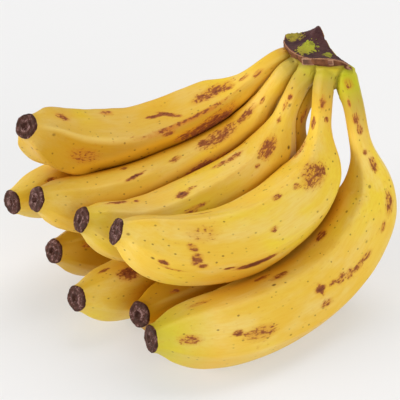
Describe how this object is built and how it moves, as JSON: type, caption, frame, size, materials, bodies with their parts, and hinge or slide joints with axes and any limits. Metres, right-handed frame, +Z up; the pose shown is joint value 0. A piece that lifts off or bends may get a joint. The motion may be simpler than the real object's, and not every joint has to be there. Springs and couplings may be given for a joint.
{
  "type": "hand of bananas",
  "caption": "Hand of ripe, spotted bananas: curved fingers in two rows joined at one cut crown, lying on the backs of the lower row.",
  "frame": {"origin": "on the table, under the middle of the hand's bounding box", "axes": "+Z up; the fingers hang from the crown and sweep towards -X and -Y to their tips"},
  "size_m": [0.1966, 0.156, 0.1294],
  "materials": {
    "peel": "waxy, satin, with brown freckles and bruises",
    "crown": "dry, dull, cut with a knife"
  },
  "bodies": {
    "root": {"crown": "crown", "banana_upper_1": "peel", "banana_upper_2": "peel", "banana_upper_3": "peel", "banana_upper_4": "peel", "banana_lower_1": "peel", "banana_lower_2": "peel", "banana_lower_3": "peel", "banana_lower_4": "peel", "banana_lower_5": "peel"}
  },
  "joints": []
}
